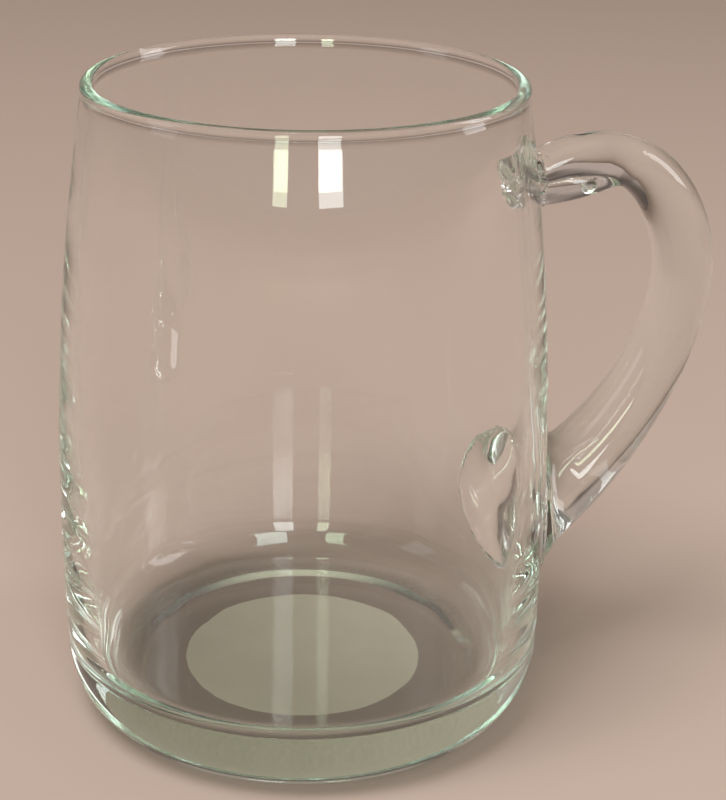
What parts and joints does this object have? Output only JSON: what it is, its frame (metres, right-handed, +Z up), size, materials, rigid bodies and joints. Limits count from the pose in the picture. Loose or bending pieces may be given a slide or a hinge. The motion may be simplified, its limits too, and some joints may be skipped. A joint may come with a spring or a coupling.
{
  "type": "beer mug",
  "caption": "Clear glass beer mug with a bellied wall, thick base and rounded lip, and a solid glass handle fused on at an oval pad below and a folded strap above.",
  "frame": {"origin": "middle of the flat underside that the mug stands on", "axes": "+Z up along the vessel's axis, +X towards the handle"},
  "size_m": [0.1244, 0.0912, 0.12],
  "materials": {
    "vessel_glass": "clear soda-lime glass with a faint green tint, fire-polished",
    "handle_glass": "clear soda-lime glass with a faint green tint, fire-polished"
  },
  "bodies": {
    "root": {"glass_body": "vessel_glass", "handle": "handle_glass"}
  },
  "joints": []
}
